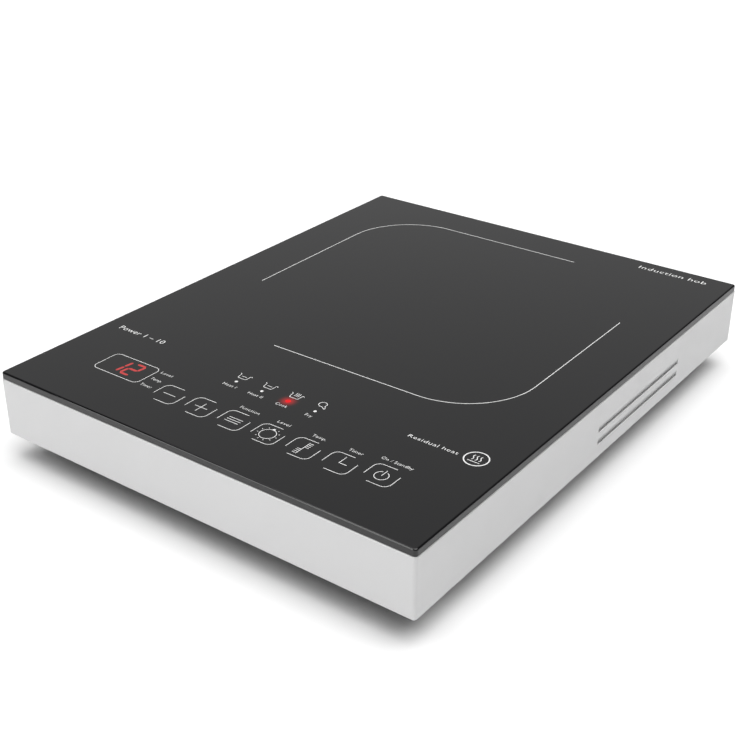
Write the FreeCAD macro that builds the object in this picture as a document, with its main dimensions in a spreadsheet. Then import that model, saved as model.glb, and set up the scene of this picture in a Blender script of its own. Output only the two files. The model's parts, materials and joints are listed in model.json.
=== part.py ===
"""Portable single-zone induction cooktop, as it would come apart on a bench.

Frame: +Z up, the floor at Z = 0, origin under the middle of the housing. -Y is the user's side with the
touch keys, +Y the side with the cord inlet. Lengths are in millimetres and come from the sheet called dims.
"""

import FreeCAD, Part
import Sketcher
import math
import os

from FreeCAD import Placement, Rotation, Vector

DIMENSIONS = {
    # silver housing frame
    "frame_width": 290, "frame_depth": 370, "frame_height": 36, "frame_base": 17, "wall": 1.8,
    "frame_corner": 2, "frame_edge": 0.6, "flange_width": 9, "flange_thick": 2,
    # glass ceramic plate and its silicone bead
    "glass_thick": 4, "glass_gap": 0.3, "glass_inset": 0.3, "glass_corner": 2, "glass_arris": 1,
    "seal_inset": 1.6, "seal_width": 6,
    # pressed air louvres in the frame walls
    "louvre_length": 105, "louvre_height": 4.6, "louvre_depth": 2.1, "louvre_curl": 10,
    "louvre_slope": 0.85, "louvre_skin": 1, "louvre_baffle": 2.6, "louvre_pitch": 8, "louvre_low": 9.3,
    "louvre_y": 47, "rear_louvre_x": 25, "rear_louvre_length": 150,
    # screw bosses and housing screws
    "boss_radius": 4.2, "boss_inset": 8, "boss_rib": 2.4, "side_boss_y": -60, "pilot_radius": 1.55,
    "screw_radius": 1.5, "screw_length": 12, "head_radius": 3.2, "head_height": 2, "recess_depth": 1.1,
    # black bottom shell
    "shell_base": 8, "shell_thick": 2.2, "shell_inset": 12, "shell_corner": 14, "shell_edge": 2.5,
    "rim_base": 19, "rim_gap": 0.3, "slot_width": 3.2, "slot_length": 34, "slot_pitch": 7,
    # rubber feet
    "foot_x": 112, "foot_y": 150, "foot_radius": 14, "foot_taper": 2, "stem_radius": 4, "stem_head": 5.2,
    # cord inlet in the rear wall
    "inlet_x": -100, "inlet_z": 36, "inlet_width": 30, "inlet_height": 20, "inlet_depth": 5,
    "inlet_lip": 3, "gland_bore": 3.6, "gland_radius": 5.4, "gland_flange": 8.5, "gland_length": 12,
    # cooling fan
    "fan_x": -82, "fan_y": -40, "fan_size": 92, "fan_thick": 25, "fan_bore": 44, "fan_holes": 82.5,
    "fan_corner": 5, "fan_flange": 4, "fan_plate": 3, "fan_hub": 17.5, "strut_width": 4,
    "impeller_hub": 18, "impeller_tip": 42.4, "impeller_wall": 1.4, "impeller_height": 18.6,
    "blade_thick": 1.4, "blade_count": 7, "magnet_thick": 2.2, "magnet_height": 12,
    "shaft_radius": 1.5, "bearing_gap": 0.03, "bearing_radius": 3.2, "tube_radius": 4.2,
    "stator_radius": 13, "pole_width": 5, "stator_height": 6,
    # intake grille under the fan
    "grille_radius": 43.6, "grille_ring": 2.2, "grille_pitch": 5.2, "grille_spoke": 2.4, "grille_lip": 3,
    # induction coil, centred on the cooking zone
    "zone_y": 44.5, "coil_inner": 24, "wire_radius": 1.4, "wire_pitch": 3, "coil_turns": 21,
    "former_radius": 93, "former_thick": 2, "former_base": 45.5, "hub_radius": 19,
    "ear_radius": 97, "ear_size": 6, "ferrite_length": 56, "ferrite_width": 12, "ferrite_thick": 5,
    "ferrite_inner": 28, "ferrite_count": 8, "mica_thick": 0.6, "mica_hole": 9, "post_radius": 5,
    # sleeved leads of the coil and their screw terminals
    "inner_lead_angle": 250, "outer_lead_angle": 262, "lead_radius": 2, "lead_bend": 5, "inner_lead_z": 34,
    "outer_lead_z": 38, "inner_lead_y": -39, "inner_post_x": 100, "outer_post_x": 86, "lead_post_y": -70,
    "lead_post_radius": 4, "lead_post_height": 7,
    # pan temperature sensor
    "cap_radius": 6.5, "cap_height": 3, "bead_radius": 1.3, "spring_wire": 0.35,
    # circuit boards
    "board_thick": 1.6, "board_lift": 5, "standoff_radius": 3.2, "power_x": 40, "power_y": -112,
    "power_length": 150, "power_width": 112, "filter_x": -77, "filter_y": -134, "filter_length": 66,
    "filter_width": 68, "panel_x": -2, "panel_y": -131, "panel_length": 228, "panel_width": 62,
    "panel_base": 44, "panel_post_x": 122, "panel_post_front": 166, "panel_post_rear": 96,
    "carrier_thick": 2, "carrier_depth": 78,
    # heatsink and the parts on it
    "sink_x": 30, "sink_y": -70, "sink_length": 96, "sink_width": 42, "sink_plate": 5, "sink_height": 21,
    "fin_thick": 1.6, "fin_count": 8, "chip_hole": 11.5,
    # parts on the power board
    "resonant_x": 88, "resonant_y": -116, "resonant_length": 38, "resonant_width": 20,
    "resonant_height": 22, "smoothing_x": 38, "smoothing_y": -116, "smoothing_length": 40,
    "smoothing_width": 18, "smoothing_height": 20, "can_y": -150, "current_x": 104, "current_y": -142,
    "current_length": 16, "current_width": 14, "current_height": 16, "current_eye": 3.2, "current_eye_z": 9,
    "aux_x": -12, "aux_y": -117, "aux_length": 24, "aux_width": 14, "aux_height": 17, "bobbin_side": 20,
    "bobbin_height": 18, "buzzer_x": 76, "buzzer_y": -148, "buzzer_radius": 6, "buzzer_height": 7,
    "buzzer_mouth": 1.2, "chip_x": 42, "chip_y": -148, "chip_length": 26, "chip_width": 8,
    "chip_height": 3.2, "chip_pins": 10, "pin_pitch": 2.54, "touch_chip_x": 12, "touch_chip_y": -128, "header_x": 20,
    "header_y": -150, "socket_y": -88, "plug_y": -104,
    # parts on the filter board
    "choke_x": -62, "choke_y": -119, "choke_outer": 13, "choke_inner": 6.5, "choke_height": 11,
    "choke_wire": 1.4, "choke_lift": 1.4, "mains_x": -84, "mains_y": -151, "mains_length": 30,
    "mains_width": 12, "mains_height": 16, "varistor_x": -58, "varistor_y": -148, "varistor_radius": 7,
    "varistor_thick": 4, "varistor_legs": 7.5, "fuse_x": -94, "fuse_y": -135, "fuse_length": 20,
    "fuse_radius": 2.6, "fuse_cap": 5, "terminal_x": -88, "terminal_y": -113, "terminal_length": 20,
    "terminal_width": 14, "terminal_height": 12, "terminal_pitch": 10, "link_left": -47, "link_right": -29,
    "link_z": 27, "link_radius": 1.2, "link_bend": 4,
    # keys and lights of the control board
    "key_pitch": 24, "key_first_x": -48, "key_y": -146.5, "power_key_y": -143, "key_count": 7,
    "key_spring_radius": 4.5, "key_spring_wire": 0.4, "lamp_first_x": -28.5, "lamp_pitch": 19,
    "lamp_y": -113, "lamp_radius": 1.5, "display_x": -90.3, "display_y": -138.3, "display_length": 25,
    "display_width": 19, "display_height": 7.4, "ribbon_x": 90,
}
CORNERS = [(-1, -1), (1, -1), (1, 1), (-1, 1)]
SMALL = 1e-6

doc = FreeCAD.newDocument("induction_cooktop")
dims = doc.addObject("Spreadsheet::Sheet", "dims")
subparts, inner_screws, inner_leads = [], [], []


class Size:
    """A length that carries its number and the sheet expression that it comes from."""

    def __init__(self, value, text):
        self.value, self.text = value, text

    def joined(self, sign, other, value):
        return Size(value, f"({self.text} {sign} {other.text})")

    def __add__(self, other):
        other = as_size(other)
        return self.joined("+", other, self.value + other.value)

    def __sub__(self, other):
        other = as_size(other)
        return self.joined("-", other, self.value - other.value)

    def __mul__(self, other):
        other = as_size(other)
        return self.joined("*", other, self.value * other.value)

    def __truediv__(self, other):
        other = as_size(other)
        return self.joined("/", other, self.value / other.value)

    def __radd__(self, other):
        return as_size(other) + self

    def __rsub__(self, other):
        return as_size(other) - self

    def __rmul__(self, other):
        return as_size(other) * self

    def __neg__(self):
        return as_size(-1) * self

    def __float__(self):
        return float(self.value)


def as_size(number):
    return number if isinstance(number, Size) else Size(float(number), f"({float(number):.10g})")


class Sizes:
    """The sheet's cells by alias, so that d.wall is the wall's Size."""

    def __getattr__(self, alias):
        return Size(float(DIMENSIONS[alias]), f"dims.{alias}")


d = Sizes()


def fill_sheet():
    for row, (alias, value) in enumerate(DIMENSIONS.items(), start=1):
        dims.set(f"A{row}", alias)
        dims.set(f"B{row}", str(value))
        dims.setAlias(f"B{row}", alias)
    doc.recompute()


# ---- helpers: binding, primitives, booleans ----


def bind(item, **properties):
    """Binds properties to sheet expressions; a double underscore stands for a dot."""
    for name, size in properties.items():
        item.setExpression(name.replace("__", "."), as_size(size).text)
    return item


def place(item, x=0, y=0, z=0):
    return bind(item, Placement__Base__x=x, Placement__Base__y=y, Placement__Base__z=z)


def box(name, centre, base, extent):
    """A box centred on (x, y) that stands on Z = base."""
    item = doc.addObject("Part::Box", name)
    bind(item, Length=extent[0], Width=extent[1], Height=extent[2])
    return place(item, centre[0] - as_size(extent[0]) / 2, centre[1] - as_size(extent[1]) / 2, base)


def rod(name, centre, base, radius, height):
    """An upright cylinder."""
    item = doc.addObject("Part::Cylinder", name)
    bind(item, Radius=radius, Height=height)
    return place(item, centre[0], centre[1], base)


def bar(name, start, radius, length, axis):
    """A cylinder that lies along X or Y from start."""
    item = doc.addObject("Part::Cylinder", name)
    bind(item, Radius=radius, Height=length)
    direction = Vector(1, 0, 0) if axis == "X" else Vector(0, 1, 0)
    item.Placement = Placement(Vector(), Rotation(Vector(0, 0, 1), direction))
    return place(item, *start)


def ring(name, centre, base, outer, inner, height):
    return cut(name, rod(name + "_outer", centre, base, outer, height),
               rod(name + "_inner", centre, base, inner, height))


def fuse(name, *parts):
    if len(parts) == 1:
        return parts[0]
    item = doc.addObject("Part::MultiFuse", name)
    item.Shapes = list(parts)
    return item


def cut(name, base, *tools):
    item = doc.addObject("Part::Cut", name)
    item.Base, item.Tool = base, fuse(name + "_tools", *tools)
    return item


def group(name, *parts):
    """Separate solids that share one node."""
    item = doc.addObject("Part::Compound", name)
    item.Links = list(parts)
    return item


def rounded(name, base, radius, chosen, kind="Part::Fillet"):
    """Rounds or chamfers the edges of a primitive or boolean that chosen(edge) picks."""
    doc.recompute()
    picked = [i for i, edge in enumerate(base.Shape.Edges, start=1) if chosen(edge)]
    if not picked:
        raise RuntimeError(f"{name}: no edge to round")
    item = doc.addObject(kind, name)
    item.Base = base
    item.Edges = [(i, float(radius), float(radius)) for i in picked]
    return item


def made(name, shape, placement=None):
    """A feature whose shape no primitive or sketch gives."""
    item = doc.addObject("Part::Feature", name)
    item.Shape = shape
    if placement:
        item.Placement = placement
    return item


def subpart(label, item):
    """Registers an object as a bench piece; its label names its file."""
    item.Label = label
    subparts.append(item)
    return item


def upright(edge):
    low, high = edge.Vertexes[0].Point, edge.Vertexes[-1].Point
    return abs(low.x - high.x) < SMALL and abs(low.y - high.y) < SMALL and abs(low.z - high.z) > SMALL


def level(height):
    """Picks the edges that lie at one height."""
    at = float(height)
    return lambda edge: abs(edge.BoundBox.ZMin - at) < 1e-4 and abs(edge.BoundBox.ZMax - at) < 1e-4


# ---- helpers: PartDesign ----


def new_body(name):
    return doc.addObject("PartDesign::Body", name)


def sketch_on(body, name, role="XY_Plane", centre=(0, 0), height=0):
    """An empty sketch on one of the body's origin planes, shifted to its own centre and height."""
    sketch = body.newObject("Sketcher::SketchObject", name)
    plane = next(item for item in body.Origin.OriginFeatures if item.Role == role)
    sketch.AttachmentSupport = [(plane, "")]
    sketch.MapMode = "FlatFace"
    return bind(sketch, AttachmentOffset__Base__x=centre[0], AttachmentOffset__Base__y=centre[1],
                AttachmentOffset__Base__z=height)


def named_constraint(sketch, name, size, kind, *where):
    index = sketch.addConstraint(Sketcher.Constraint(kind, *where, abs(float(size))))
    sketch.renameConstraint(index, name)
    sketch.setExpression(f"Constraints.{name}", as_size(size).text)


def rectangle(sketch, wide, deep):
    """A rectangle centred on the sketch's origin."""
    w, h = float(wide) / 2, float(deep) / 2
    corners = [Vector(-w, -h), Vector(w, -h), Vector(w, h), Vector(-w, h)]
    first = sketch.GeometryCount
    for i in range(4):
        sketch.addGeometry(Part.LineSegment(corners[i], corners[(i + 1) % 4]), False)
    for i in range(4):
        sketch.addConstraint(Sketcher.Constraint("Coincident", first + i, 2, first + (i + 1) % 4, 1))
        sketch.addConstraint(Sketcher.Constraint("Vertical" if i % 2 else "Horizontal", first + i))
    sketch.addConstraint(Sketcher.Constraint("Symmetric", first, 1, first + 2, 1, -1, 1))
    named_constraint(sketch, f"wide{first}", wide, "DistanceX", first, 1, first, 2)
    named_constraint(sketch, f"deep{first}", deep, "DistanceY", first + 1, 1, first + 1, 2)
    return sketch


def circle(sketch, radius):
    """A circle about the sketch's origin."""
    index = sketch.addGeometry(Part.Circle(Vector(), Vector(0, 0, 1), float(radius)), False)
    sketch.addConstraint(Sketcher.Constraint("Coincident", index, 3, -1, 1))
    named_constraint(sketch, f"radius{index}", radius, "Radius", index)
    return sketch


def profile(sketch, points):
    """A closed outline of straight lines through points with no negative coordinate."""
    places = [Vector(float(as_size(x)), float(as_size(y))) for x, y in points]
    count = len(places)
    for i in range(count):
        sketch.addGeometry(Part.LineSegment(places[i], places[(i + 1) % count]), False)
    for i in range(count):
        sketch.addConstraint(Sketcher.Constraint("Coincident", i, 2, (i + 1) % count, 1))
    for i, (x, y) in enumerate(points):
        for name, size, kind, axis in (("x", x, "DistanceX", -2), ("y", y, "DistanceY", -1)):
            if abs(float(as_size(size))) < SMALL:
                sketch.addConstraint(Sketcher.Constraint("PointOnObject", i, 1, axis))
            else:
                named_constraint(sketch, f"{name}{i}", size, kind, -1, 1, i, 1)
    return sketch


def pad(body, sketch, length, name):
    item = body.newObject("PartDesign::Pad", name)
    item.Profile = sketch
    return bind(item, Length=length)


def pocket(body, sketch, length, name):
    """Cuts down from the sketch, and stops the build if nothing was cut."""
    doc.recompute()
    before = body.Shape.Volume
    item = body.newObject("PartDesign::Pocket", name)
    item.Profile = sketch
    bind(item, Length=length)
    doc.recompute()
    if not body.Shape.Volume < before - SMALL:
        raise RuntimeError(f"{name} cuts nothing")
    return item


def revolve(body, sketch, name):
    """Turns a profile of the XZ plane about Z."""
    item = body.newObject("PartDesign::Revolution", name)
    item.Profile = sketch
    item.ReferenceAxis = (sketch, ["V_Axis"])
    item.Angle = 360
    return item


def dress(body, name, size, chosen, kind="PartDesign::Fillet"):
    """Fillets or chamfers the edges of the body's last feature that chosen(edge) picks."""
    doc.recompute()
    last = body.Tip
    names = [f"Edge{i}" for i, edge in enumerate(last.Shape.Edges, start=1) if chosen(edge)]
    if not names:
        raise RuntimeError(f"{name}: no edge to dress")
    item = body.newObject(kind, name)
    item.Base = (last, names)
    key = "Radius" if kind.endswith("Fillet") else "Size"
    return bind(item, **{key: size})


def plate(label, wide, deep, base, thick, corner=None):
    """A flat rectangular plate as a body, with rounded corners if a radius is given."""
    body = new_body(label)
    outline = rectangle(sketch_on(body, label + "_outline", height=base), wide, deep)
    pad(body, outline, thick, label + "_pad")
    if corner:
        dress(body, label + "_corners", corner, upright)
    return body


# ---- helpers: swept wires and springs ----


def tube(name, points, radius, bend):
    """A round wire along straight runs joined by tangent arcs of one radius, less where a run is short."""
    places = [Vector(*(float(as_size(c)) for c in point)) for point in points]
    edges, start = [], places[0]
    for before, corner, after in zip(places, places[1:], places[2:]):
        inward, outward = (before - corner), (after - corner)
        half = (math.pi - inward.getAngle(outward)) / 2
        room = 0.45 * min(inward.Length, outward.Length)
        reach = min(bend * math.tan(half), room)
        first = corner + inward.normalize() * reach
        last = corner + outward.normalize() * reach
        toward = (inward + outward).normalize()
        arc_radius = reach / math.tan(half)
        centre = corner + toward * (arc_radius / math.cos(half))
        middle = centre - toward * arc_radius
        edges += [Part.LineSegment(start, first).toShape(), Part.Arc(first, middle, last).toShape()]
        start = last
    edges.append(Part.LineSegment(start, places[-1]).toShape())
    path = Part.Wire(edges)
    section = Part.Wire(Part.makeCircle(radius, places[0], places[1] - places[0]))
    shape = path.makePipeShell([section], True, False)
    expected = math.pi * radius**2 * path.Length
    if abs(shape.Volume - expected) > 0.02 * expected:
        raise RuntimeError(f"{name} has the wrong volume")
    return shape


def octagon(radius, centre):
    """An eight-sided wire section in the XZ plane, as wide as a round one."""
    points = [centre + Vector(radius * math.cos(turn), 0, radius * math.sin(turn))
              for turn in (math.pi / 4 * step for step in range(9))]
    return Part.makePolygon(points)


def spring_shape(radius, wire, height, turns):
    """A compression spring, with the centre of its lowest turn at Z = 0."""
    path = Part.Wire(Part.makeHelix((height - 2 * wire) / turns, height - 2 * wire, radius).Edges)
    return path.makePipeShell([octagon(wire, Vector(radius, 0, 0))], True, True)


def polar(radius, degrees, centre=(0, 0)):
    angle = math.radians(degrees)
    return centre[0] + radius * math.cos(angle), centre[1] + radius * math.sin(angle)


# ---- heights and half sizes that several pieces share ----

frame_top = d.frame_base + d.frame_height
glass_base = frame_top + d.glass_gap
half_x, half_y = d.frame_width / 2, d.frame_depth / 2
inner_x, inner_y = half_x - d.wall, half_y - d.wall
floor = d.shell_base + d.shell_thick
board_base = floor + d.board_lift
board_top = board_base + d.board_thick
former_top = d.former_base + d.former_thick
coil_top = former_top + d.wire_radius * 2
fan_base = floor + d.grille_lip
fan_top = fan_base + d.fan_thick
panel_top = d.panel_base + d.board_thick
carrier_base = d.panel_base - d.carrier_thick
cap_base = glass_base - d.cap_height
fan_at = (d.fan_x, d.fan_y)
zone = (0, d.zone_y)
coil_post_top = d.former_base - 11
lead_base = board_top + d.lead_post_height
sink_base = board_top + 5.5
rotor_base = fan_base + 1.2
rotor_roof = rotor_base + d.impeller_wall
shaft_top = fan_top - d.fan_plate + 1
foot_places = [(sx * d.foot_x, sy * d.foot_y) for sx, sy in CORNERS]


def board_holes(x, y, length, width, inset=5):
    """The four screw places of a board, as (x, y) pairs of sizes."""
    return [(x + sx * (length / 2 - inset), y + sy * (width / 2 - inset)) for sx, sy in CORNERS]


power_holes = board_holes(d.power_x, d.power_y, d.power_length, d.power_width)
filter_holes = board_holes(d.filter_x, d.filter_y, d.filter_length, d.filter_width)
fan_holes = [(d.fan_x + sx * d.fan_holes / 2, d.fan_y + sy * d.fan_holes / 2) for sx, sy in CORNERS]
ear_places = [(d.ear_radius * math.cos(math.radians(angle)),
               d.zone_y + d.ear_radius * math.sin(math.radians(angle))) for angle in (90, 195, 345)]
coil_ends = [polar(float(reach), float(angle), (0, float(d.zone_y)))
             for reach, angle in ((d.coil_inner, d.inner_lead_angle),
                                  (d.former_radius - 2, d.outer_lead_angle))]
carrier_posts = [(sx * d.panel_post_x, -y)
                 for sx in (-1, 1) for y in (d.panel_post_front, d.panel_post_rear)]
chip_columns = (as_size(5), as_size(52))
corner_screw = (inner_x - d.boss_inset, inner_y - d.boss_inset)
side_screw_x = inner_x - d.boss_radius - 0.8
screw_places = [(sx * corner_screw[0], sy * corner_screw[1]) for sx, sy in CORNERS]
screw_places += [(sx * side_screw_x, d.side_boss_y) for sx in (-1, 1)]


def pan_screw(name, centre, under_head, length):
    """A screw that points down, with a cross recess in its round head."""
    x, y = centre
    head = rod(name + "_head", centre, under_head, d.head_radius, d.head_height)
    shank = rod(name + "_shank", centre, under_head - length, d.screw_radius, length)
    low = under_head + d.head_height - d.recess_depth
    slots = [box(f"{name}_slot{i}", (x, y), low, size)
             for i, size in enumerate([(3.4, 0.8, d.head_height), (0.8, 3.4, d.head_height)])]
    return cut(name, fuse(name + "_solid", head, shank), *slots)


def screw_up(name, centre, under_head, length):
    """A screw that points up, with a cross recess in its head."""
    low = under_head - d.head_height
    head = rod(name + "_head", centre, low, d.head_radius, d.head_height)
    shank = rod(name + "_shank", centre, under_head, d.screw_radius, length)
    slots = [box(f"{name}_slot{i}", centre, low - d.recess_depth, size)
             for i, size in enumerate([(3.4, 0.8, d.recess_depth * 2), (0.8, 3.4, d.recess_depth * 2)])]
    return cut(name, fuse(name + "_solid", head, shank), *slots)


def add_screws(name, places, under_head, length):
    """Adds screws to the ones that hold the inner pieces."""
    inner_screws.extend(pan_screw(f"{name}{i}", at, under_head, length) for i, at in enumerate(places))


# ---- housing ----


def wedge(name, at, inward, near, far, low, high, reach):
    """A block that tapers from its near depth to its far one; each pair is a size near and far."""
    up = Vector(0, 0, 1)
    item = doc.addObject("Part::Wedge", name)
    bind(item, Ymin=near, Ymax=far, Xmin=low[0], Xmax=high[0], X2min=low[1], X2max=high[1],
         Zmin=-reach[0], Zmax=reach[0], Z2min=-reach[1], Z2max=reach[1])
    item.Placement = Placement(Vector(), Rotation(up, inward, up.cross(inward), "XYZ"))
    return place(item, *at)


def louvre(name, at, length, side):
    """The void and the hood of one louvre, whose skin curls inward above a sloping lip.

    side is the direction from the wall to the inside, as (x, y).
    """
    x, y, z = at
    inward = Vector(*side, 0)
    drop, deep, skin = d.louvre_height, d.louvre_depth, d.louvre_skin
    half, outside = length / 2, as_size(1)
    space = wedge(name + "_space", at, inward, -outside, deep, (d.louvre_slope, -d.louvre_slope * deep),
                  (drop, drop), (half + outside, half - deep))
    span = half + outside * 2
    start = (x + side[0] * d.louvre_curl - abs(side[1]) * span,
             y + side[1] * d.louvre_curl - abs(side[0]) * span, z + drop)
    roll = bar(name + "_roll", start, d.louvre_curl, span * 2, "Y" if side[0] else "X")
    shelter = wedge(name + "_shelter", at, inward, d.wall / 2, deep + skin, (0, 0),
                    (drop + skin, skin * 2), (half + skin, half - deep + skin))
    inner = half - deep + skin
    baffle = wedge(name + "_baffle", at, inward, deep, deep + skin, (-d.louvre_baffle, -d.louvre_baffle),
                   (skin, skin), (inner, inner))
    return cut(name + "_void", space, roll), fuse(name + "_hood", shelter, baffle)


def louvre_rows():
    """Two louvres in each side wall and two in the rear wall."""
    rows = []
    for i in range(2):
        z = d.frame_base + d.louvre_low + d.louvre_pitch * i
        rows.append(louvre(f"right_louvre{i}", (half_x, d.louvre_y, z), d.louvre_length, (-1, 0)))
        rows.append(louvre(f"left_louvre{i}", (-half_x, d.louvre_y, z), d.louvre_length, (1, 0)))
        rows.append(louvre(f"rear_louvre{i}", (d.rear_louvre_x, half_y, z), d.rear_louvre_length, (0, -1)))
    return rows


def side_frame():
    body = new_body("frame_ring")
    outline = rectangle(sketch_on(body, "frame_outline", height=d.frame_base), d.frame_width, d.frame_depth)
    pad(body, outline, d.frame_height, "frame_pad")
    dress(body, "frame_corners", d.frame_corner, upright)
    dress(body, "frame_top_edge", d.frame_edge, level(frame_top))
    dress(body, "frame_bottom_edge", d.frame_edge, level(d.frame_base))
    under_flange = frame_top - d.flange_thick
    hollow = rectangle(sketch_on(body, "frame_hollow", height=under_flange), inner_x * 2, inner_y * 2)
    pocket(body, hollow, d.frame_height, "frame_pocket")
    mouth = (inner_x - d.flange_width, inner_y - d.flange_width)
    opening = rectangle(sketch_on(body, "frame_mouth", height=frame_top), mouth[0] * 2, mouth[1] * 2)
    pocket(body, opening, d.flange_thick, "frame_opening")
    rows = louvre_rows()
    boss_base = d.rim_base + d.shell_thick
    bosses = [rod(f"boss{i}", at, boss_base, d.boss_radius, under_flange - boss_base)
              for i, at in enumerate(screw_places)]
    corner_ribs = [box(f"boss_rib{i}", (sx * (corner_screw[0] + d.boss_inset / 2), sy * corner_screw[1]),
                       boss_base, (d.boss_inset, d.boss_rib, under_flange - boss_base))
                   for i, (sx, sy) in enumerate(CORNERS)]
    solid = fuse("frame_solid", body, *[hood for _, hood in rows], *bosses, *corner_ribs)
    pilots = [rod(f"boss_pilot{i}", at, boss_base, d.pilot_radius, d.screw_length + 2)
              for i, at in enumerate(screw_places)]
    window = box("inlet_window", (d.inlet_x, inner_y), d.inlet_z - d.inlet_height / 2,
                 (d.inlet_width, 10, d.inlet_height))
    subpart("side_frame", cut("side_frame_solid", solid, *[void for void, _ in rows], *pilots, window))


def glass():
    inset = d.glass_inset * 2
    body = plate("glass_plate", d.frame_width - inset, d.frame_depth - inset, glass_base, d.glass_thick,
                 d.glass_corner)
    dress(body, "glass_arris_top", d.glass_arris, level(glass_base + d.glass_thick))
    subpart("glass_ceramic_plate", body)


def seal():
    wide, deep = d.frame_width - d.seal_inset * 2, d.frame_depth - d.seal_inset * 2
    body = plate("seal_ring", wide, deep, frame_top, d.glass_gap, d.glass_corner)
    hole = sketch_on(body, "seal_mouth", height=glass_base)
    rectangle(hole, wide - d.seal_width * 2, deep - d.seal_width * 2)
    pocket(body, hole, d.glass_gap, "seal_pocket")
    subpart("glass_seal", body)


def intake_grille():
    """Rings and spokes that close the round air intake under the fan."""
    rings, number = [], 0
    radius = d.fan_hub
    while float(radius) < float(d.grille_radius) - float(d.grille_ring):
        rings.append(ring(f"grille_ring{number}", fan_at, d.shell_base, radius, radius - d.grille_ring,
                          d.shell_thick))
        radius = radius + d.grille_pitch
        number += 1
    spoke_length = d.grille_radius * 2 + 1
    for i in range(4):
        spoke = doc.addObject("Part::Box", f"grille_spoke{i}")
        bind(spoke, Length=spoke_length, Width=d.grille_spoke, Height=d.shell_thick)
        heading = Rotation(Vector(0, 0, 1), 45 * i + 22.5)
        corner = heading.multVec(Vector(-float(spoke_length) / 2, -float(d.grille_spoke) / 2, 0))
        spoke.Placement = Placement(Vector(), heading)
        rings.append(place(spoke, d.fan_x + corner.x, d.fan_y + corner.y, d.shell_base))
    hub = rod("grille_hub", fan_at, d.shell_base, d.fan_hub - d.grille_pitch, d.shell_thick)
    return [hub, *rings]


def outlet_slots():
    """Two rows of slots in the floor behind the middle."""
    slots = []
    for row, y in enumerate((as_size(100), as_size(142))):
        for i in (*range(-8, -1), *range(2, 9)):
            slots.append(box(f"outlet_slot{row}_{i + 8}", (d.slot_pitch * i, y), d.shell_base,
                             (d.slot_width, d.slot_length, d.shell_thick)))
    return slots


def bottom_shell():
    body = new_body("shell_tray")
    rim_x, rim_y = inner_x - d.rim_gap, inner_y - d.rim_gap
    tray_x, tray_y = half_x - d.shell_inset, half_y - d.shell_inset
    tray = rectangle(sketch_on(body, "tray_outline", height=d.shell_base), tray_x * 2, tray_y * 2)
    pad(body, tray, d.rim_base + d.shell_thick - d.shell_base, "tray_pad")
    dress(body, "tray_corners", d.shell_corner, upright)
    dress(body, "tray_edge", d.shell_edge, level(d.shell_base))
    rim = rectangle(sketch_on(body, "rim_outline", height=d.rim_base), rim_x * 2, rim_y * 2)
    pad(body, rim, d.shell_thick, "rim_pad")
    hollow = box("tray_space", (0, 0), floor, ((tray_x - d.shell_thick) * 2, (tray_y - d.shell_thick) * 2,
                                               d.rim_base + d.shell_thick - floor))
    hollow = rounded("tray_hollow", hollow, d.shell_corner - d.shell_thick, upright)
    raised = []
    for i, at in enumerate(power_holes + filter_holes):
        raised.append(rod(f"standoff{i}", at, floor, d.standoff_radius, d.board_lift))
    for i, at in enumerate(fan_holes):
        raised.append(rod(f"fan_post{i}", at, floor, d.standoff_radius, d.grille_lip))
    for i, at in enumerate(carrier_posts):
        raised.append(rod(f"panel_post{i}", at, floor, d.standoff_radius + 0.8, carrier_base - floor))
    for i, at in enumerate(ear_places):
        raised.append(rod(f"coil_post{i}", at, floor, d.post_radius, coil_post_top - floor))
    mouth = ring("grille_mouth", fan_at, floor, d.grille_radius + d.shell_thick, d.grille_radius,
                 d.grille_lip)
    solid = fuse("shell_solid", cut("tray", body, hollow), mouth, *raised)
    deep = d.screw_length
    holes = [rod("intake", fan_at, d.shell_base, d.grille_radius, d.shell_thick)]
    holes += [rod(f"foot_hole{i}", at, d.shell_base, d.stem_radius, d.shell_thick)
              for i, at in enumerate(foot_places)]
    holes += [rod(f"rim_hole{i}", at, d.rim_base, d.screw_radius + 0.3, d.shell_thick)
              for i, at in enumerate(screw_places)]
    holes += [rod(f"standoff_pilot{i}", at, d.shell_base + 1, d.pilot_radius, d.board_lift + d.shell_thick)
              for i, at in enumerate(power_holes + filter_holes)]
    holes += [rod(f"fan_pilot{i}", at, d.shell_base, d.pilot_radius, d.grille_lip + d.shell_thick)
              for i, at in enumerate(fan_holes)]
    holes += [rod(f"panel_pilot{i}", at, carrier_base - deep, d.pilot_radius, deep)
              for i, at in enumerate(carrier_posts)]
    holes += [rod(f"coil_pilot{i}", at, coil_post_top - deep, d.pilot_radius, deep)
              for i, at in enumerate(ear_places)]
    shell = cut("shell_with_holes", solid, *holes, *outlet_slots())
    subpart("bottom_shell", fuse("bottom_shell_solid", shell, *intake_grille()))


def feet():
    names = ("foot_front_left", "foot_front_right", "foot_rear_right", "foot_rear_left")
    for name, (x, y) in zip(names, foot_places):
        body = new_body(name + "_turned")
        outline = [(0, 0), (d.foot_radius - d.foot_taper, 0), (d.foot_radius, d.shell_base),
                   (d.stem_radius, d.shell_base), (d.stem_radius, floor), (d.stem_head, floor),
                   (d.stem_radius - 1, floor + 2.4), (0, floor + 2.4)]
        revolve(body, profile(sketch_on(body, name + "_profile", "XZ_Plane"), outline), name + "_turn")
        dress(body, name + "_edge", 1.2, level(0))
        subpart(name, place(body, x, y, 0))


def housing_screws():
    parts = [screw_up(f"housing_screw{i}", at, d.rim_base, d.screw_length)
             for i, at in enumerate(screw_places)]
    subpart("housing_screws", group("housing_screw_group", *parts))


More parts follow.
